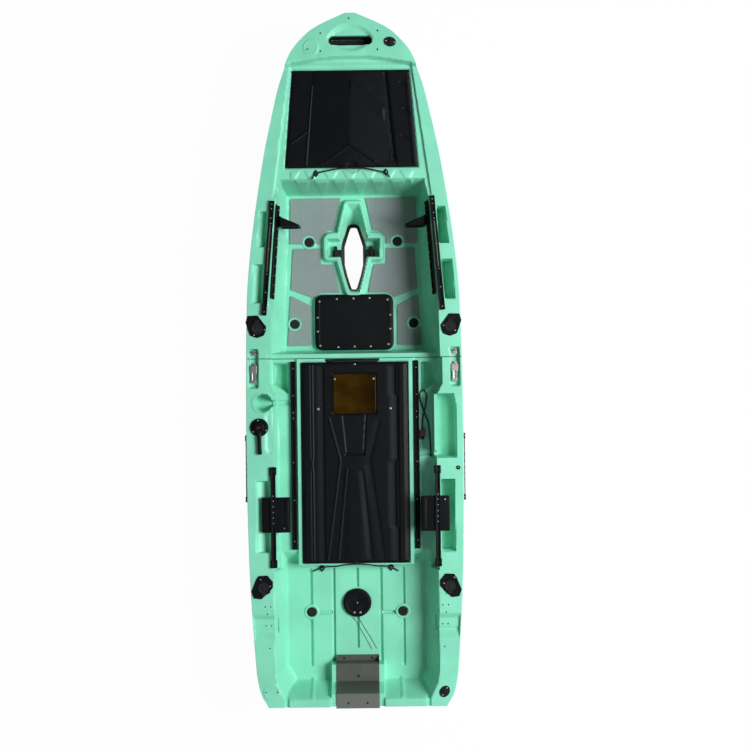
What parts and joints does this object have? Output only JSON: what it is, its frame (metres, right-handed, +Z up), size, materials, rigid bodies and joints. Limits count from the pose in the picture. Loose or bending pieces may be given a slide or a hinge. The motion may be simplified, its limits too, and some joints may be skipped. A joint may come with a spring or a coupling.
{
  "type": "pedal kayak",
  "caption": "Modular sit-on-top pedal kayak in latched hull sections, with a pedal drive well, hatches, gear tracks, rod holders, foot braces, steering lever and tankwell.",
  "frame": {"origin": "on the floor, under the middle of the boat's length and width", "axes": "+X to starboard, +Y to the bow, +Z up"},
  "size_m": [0.9412, 2.908, 0.3613],
  "materials": {
    "hull_green": "satin moulded polyethylene, mint green",
    "black_plastic": "satin moulded plastic, black",
    "black_rubber": "matt rubber, black",
    "pad_foam": "ribbed foam, grey",
    "brushed_steel": "brushed stainless steel",
    "brushed_aluminium": "brushed sheet, grey",
    "smoked_amber": "glossy smoked amber sheet",
    "connector_red": "glossy dark red plastic",
    "braid_black": "woven black cord cover"
  },
  "bodies": {
    "hull": {"hull_bow_section": "hull_green", "hull_stern_section": "hull_green", "deck_plate": "black_plastic", "round_hatch_ring": "black_plastic", "steering_base": "black_plastic", "stern_bracket": "brushed_aluminium", "floor_pad_front_port": "pad_foam", "scupper_plug_front_port": "black_rubber", "floor_pad_middle_port": "pad_foam", "scupper_plug_middle_port": "black_rubber", "floor_pad_rear_port": "pad_foam", "scupper_plug_rear_port": "black_rubber", "gear_track_front_port": "black_plastic", "rod_holder_front_port": "black_plastic", "gear_track_rear_port": "black_plastic", "rod_holder_rear_port": "black_plastic", "side_plate_port": "black_plastic", "seat_rail_port": "black_plastic", "foot_brace_track_port": "black_plastic", "latch_keeper_port": "brushed_steel", "latch_base_port": "brushed_steel", "side_handle_port": "black_rubber", "floor_pad_front_starboard": "pad_foam", "scupper_plug_front_starboard": "black_rubber", "floor_pad_middle_starboard": "pad_foam", "scupper_plug_middle_starboard": "black_rubber", "floor_pad_rear_starboard": "pad_foam", "scupper_plug_rear_starboard": "black_rubber", "gear_track_front_starboard": "black_plastic", "rod_holder_front_starboard": "black_plastic", "gear_track_rear_starboard": "black_plastic", "rod_holder_rear_starboard": "black_plastic", "side_plate_starboard": "black_plastic", "seat_rail_starboard": "black_plastic", "foot_brace_track_starboard": "black_plastic", "latch_keeper_starboard": "brushed_steel", "latch_base_starboard": "brushed_steel", "side_handle_starboard": "black_rubber", "front_bungee": "braid_black", "centre_front_bungee": "braid_black", "centre_rear_bungee": "braid_black", "power_cable": "black_rubber", "power_connector": "connector_red"},
    "front_hatch": {"front_hatch_cover": "black_plastic"},
    "centre_hatch": {"centre_hatch_cover": "black_plastic", "hatch_window_plate": "smoked_amber"},
    "round_hatch": {"round_hatch_lid": "black_plastic"},
    "steering": {"steering_lever": "black_plastic"},
    "bow_drain": {"bow_drain_plug": "black_rubber"},
    "stern_drain": {"stern_drain_plug": "black_rubber"},
    "foot_pedal_port": {"foot_pedal_port": "black_plastic"},
    "latch_lever_port": {"latch_lever_port": "brushed_steel"},
    "latch_bail_port": {"latch_bail_port": "brushed_steel"},
    "rod_cap_front_port": {"rod_holder_cap_front_port": "black_rubber"},
    "rod_cap_rear_port": {"rod_holder_cap_rear_port": "black_rubber"},
    "foot_pedal_starboard": {"foot_pedal_starboard": "black_plastic"},
    "latch_lever_starboard": {"latch_lever_starboard": "brushed_steel"},
    "latch_bail_starboard": {"latch_bail_starboard": "brushed_steel"},
    "rod_cap_front_starboard": {"rod_holder_cap_front_starboard": "black_rubber"},
    "rod_cap_rear_starboard": {"rod_holder_cap_rear_starboard": "black_rubber"}
  },
  "joints": [
    {"name": "front_hatch_hinge", "type": "hinge", "parent": "hull", "child": "front_hatch", "pos_m": [0, 1.2174, 0.3233], "axis": [-1, 0, 0], "range_deg": [0, 95]},
    {"name": "centre_hatch_lift", "type": "slide", "parent": "hull", "child": "centre_hatch", "axis": [0, 0, 1], "range_m": [0, 0.1]},
    {"name": "round_hatch_lift", "type": "slide", "parent": "hull", "child": "round_hatch", "axis": [0, 0, 1], "range_m": [0, 0.06]},
    {"name": "steering_turn", "type": "hinge", "parent": "hull", "child": "steering", "pos_m": [-0.399, -0.271, 0.3386], "axis": [0, 0, 1], "range_deg": [-45, 45]},
    {"name": "bow_drain_turn", "type": "hinge", "parent": "hull", "child": "bow_drain", "pos_m": [0.166, 1.331, 0.3523], "axis": [0, 0, 1], "range_deg": [0, 360]},
    {"name": "stern_drain_turn", "type": "hinge", "parent": "hull", "child": "stern_drain", "pos_m": [0.364, -1.384, 0.3303], "axis": [0, 0, 1], "range_deg": [0, 360]},
    {"name": "foot_pedal_port_slide", "type": "slide", "parent": "hull", "child": "foot_pedal_port", "axis": [-0.0722, -0.9974, 0], "range_m": [-0.04, 0.29]},
    {"name": "latch_lever_port_hinge", "type": "hinge", "parent": "hull", "child": "latch_lever_port", "pos_m": [-0.422, -0.018, 0.3193], "axis": [-1, 0, 0], "range_deg": [0, 100]},
    {"name": "latch_bail_port_hinge", "type": "hinge", "parent": "latch_lever_port", "child": "latch_bail_port", "pos_m": [-0.422, -0.03, 0.31755], "axis": [-1, 0, 0], "range_deg": [-160, 0]},
    {"name": "rod_cap_front_port_hinge", "type": "hinge", "parent": "hull", "child": "rod_cap_front_port", "pos_m": [-0.404, 0.174, 0.3386], "axis": [-1, 0, 0], "range_deg": [0, 110]},
    {"name": "rod_cap_rear_port_hinge", "type": "hinge", "parent": "hull", "child": "rod_cap_rear_port", "pos_m": [-0.39, -0.973, 0.3386], "axis": [1, 0, 0], "range_deg": [0, 110]},
    {"name": "foot_pedal_starboard_slide", "type": "slide", "parent": "hull", "child": "foot_pedal_starboard", "axis": [0.0722, -0.9974, 0], "range_m": [-0.04, 0.29]},
    {"name": "latch_lever_starboard_hinge", "type": "hinge", "parent": "hull", "child": "latch_lever_starboard", "pos_m": [0.422, -0.018, 0.3193], "axis": [-1, 0, 0], "range_deg": [0, 100]},
    {"name": "latch_bail_starboard_hinge", "type": "hinge", "parent": "latch_lever_starboard", "child": "latch_bail_starboard", "pos_m": [0.422, -0.03, 0.31755], "axis": [-1, 0, 0], "range_deg": [-160, 0]},
    {"name": "rod_cap_front_starboard_hinge", "type": "hinge", "parent": "hull", "child": "rod_cap_front_starboard", "pos_m": [0.404, 0.174, 0.3386], "axis": [-1, 0, 0], "range_deg": [0, 110]},
    {"name": "rod_cap_rear_starboard_hinge", "type": "hinge", "parent": "hull", "child": "rod_cap_rear_starboard", "pos_m": [0.39, -0.973, 0.3386], "axis": [1, 0, 0], "range_deg": [0, 110]}
  ],
  "couplings": [
    {"joint": "latch_bail_port_hinge", "follows": "latch_lever_port_hinge", "ratio": -1.6},
    {"joint": "latch_bail_starboard_hinge", "follows": "latch_lever_starboard_hinge", "ratio": -1.6}
  ]
}
